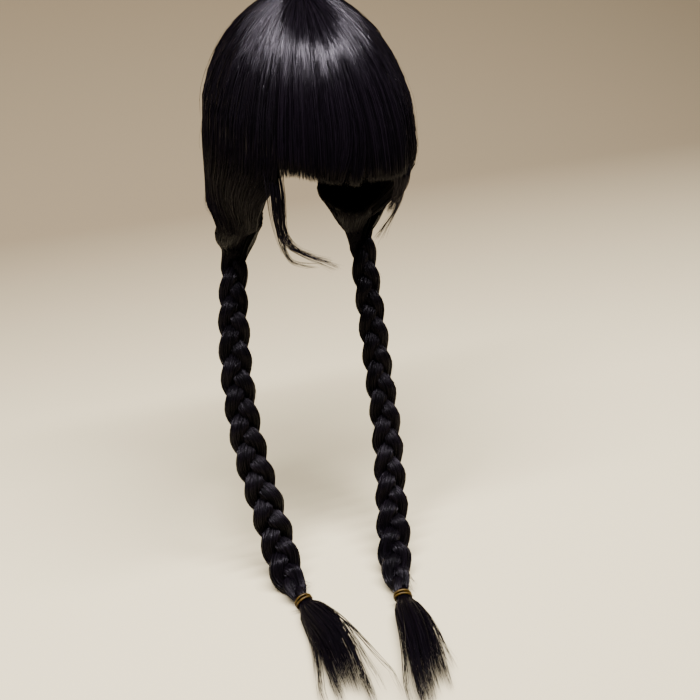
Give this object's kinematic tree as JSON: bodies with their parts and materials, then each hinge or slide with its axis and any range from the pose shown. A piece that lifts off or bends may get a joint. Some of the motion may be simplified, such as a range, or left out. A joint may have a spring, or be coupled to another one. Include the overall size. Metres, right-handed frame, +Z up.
{
  "type": "long braided wig",
  "caption": "Long straight black wig with a blunt fringe, hair swept into two low bunches and plaited into long three-strand braids tied with rubber bands, in its worn form",
  "frame": {"origin": "where the top of the wearer's head meets the inside of the cap", "axes": "+Z up, -Y the way the wearer faces, -X the wearer's right"},
  "size_m": [0.198, 0.4377, 0.5275],
  "materials": {
    "hair": "glossy black synthetic fibre",
    "net": "matt black net",
    "rubber": "glossy tan rubber"
  },
  "bodies": {
    "root": {"wig_cap": "net", "fringe": "hair", "side_hair_right": "hair", "side_hair_left": "hair", "face_lock_right": "hair", "face_lock_left": "hair", "braid_right_strand_1": "hair", "braid_right_strand_2": "hair", "braid_right_strand_3": "hair", "braid_left_strand_1": "hair", "braid_left_strand_2": "hair", "braid_left_strand_3": "hair", "tail_right": "hair", "tail_left": "hair", "elastic_band_right": "rubber", "elastic_band_left": "rubber"}
  },
  "joints": []
}
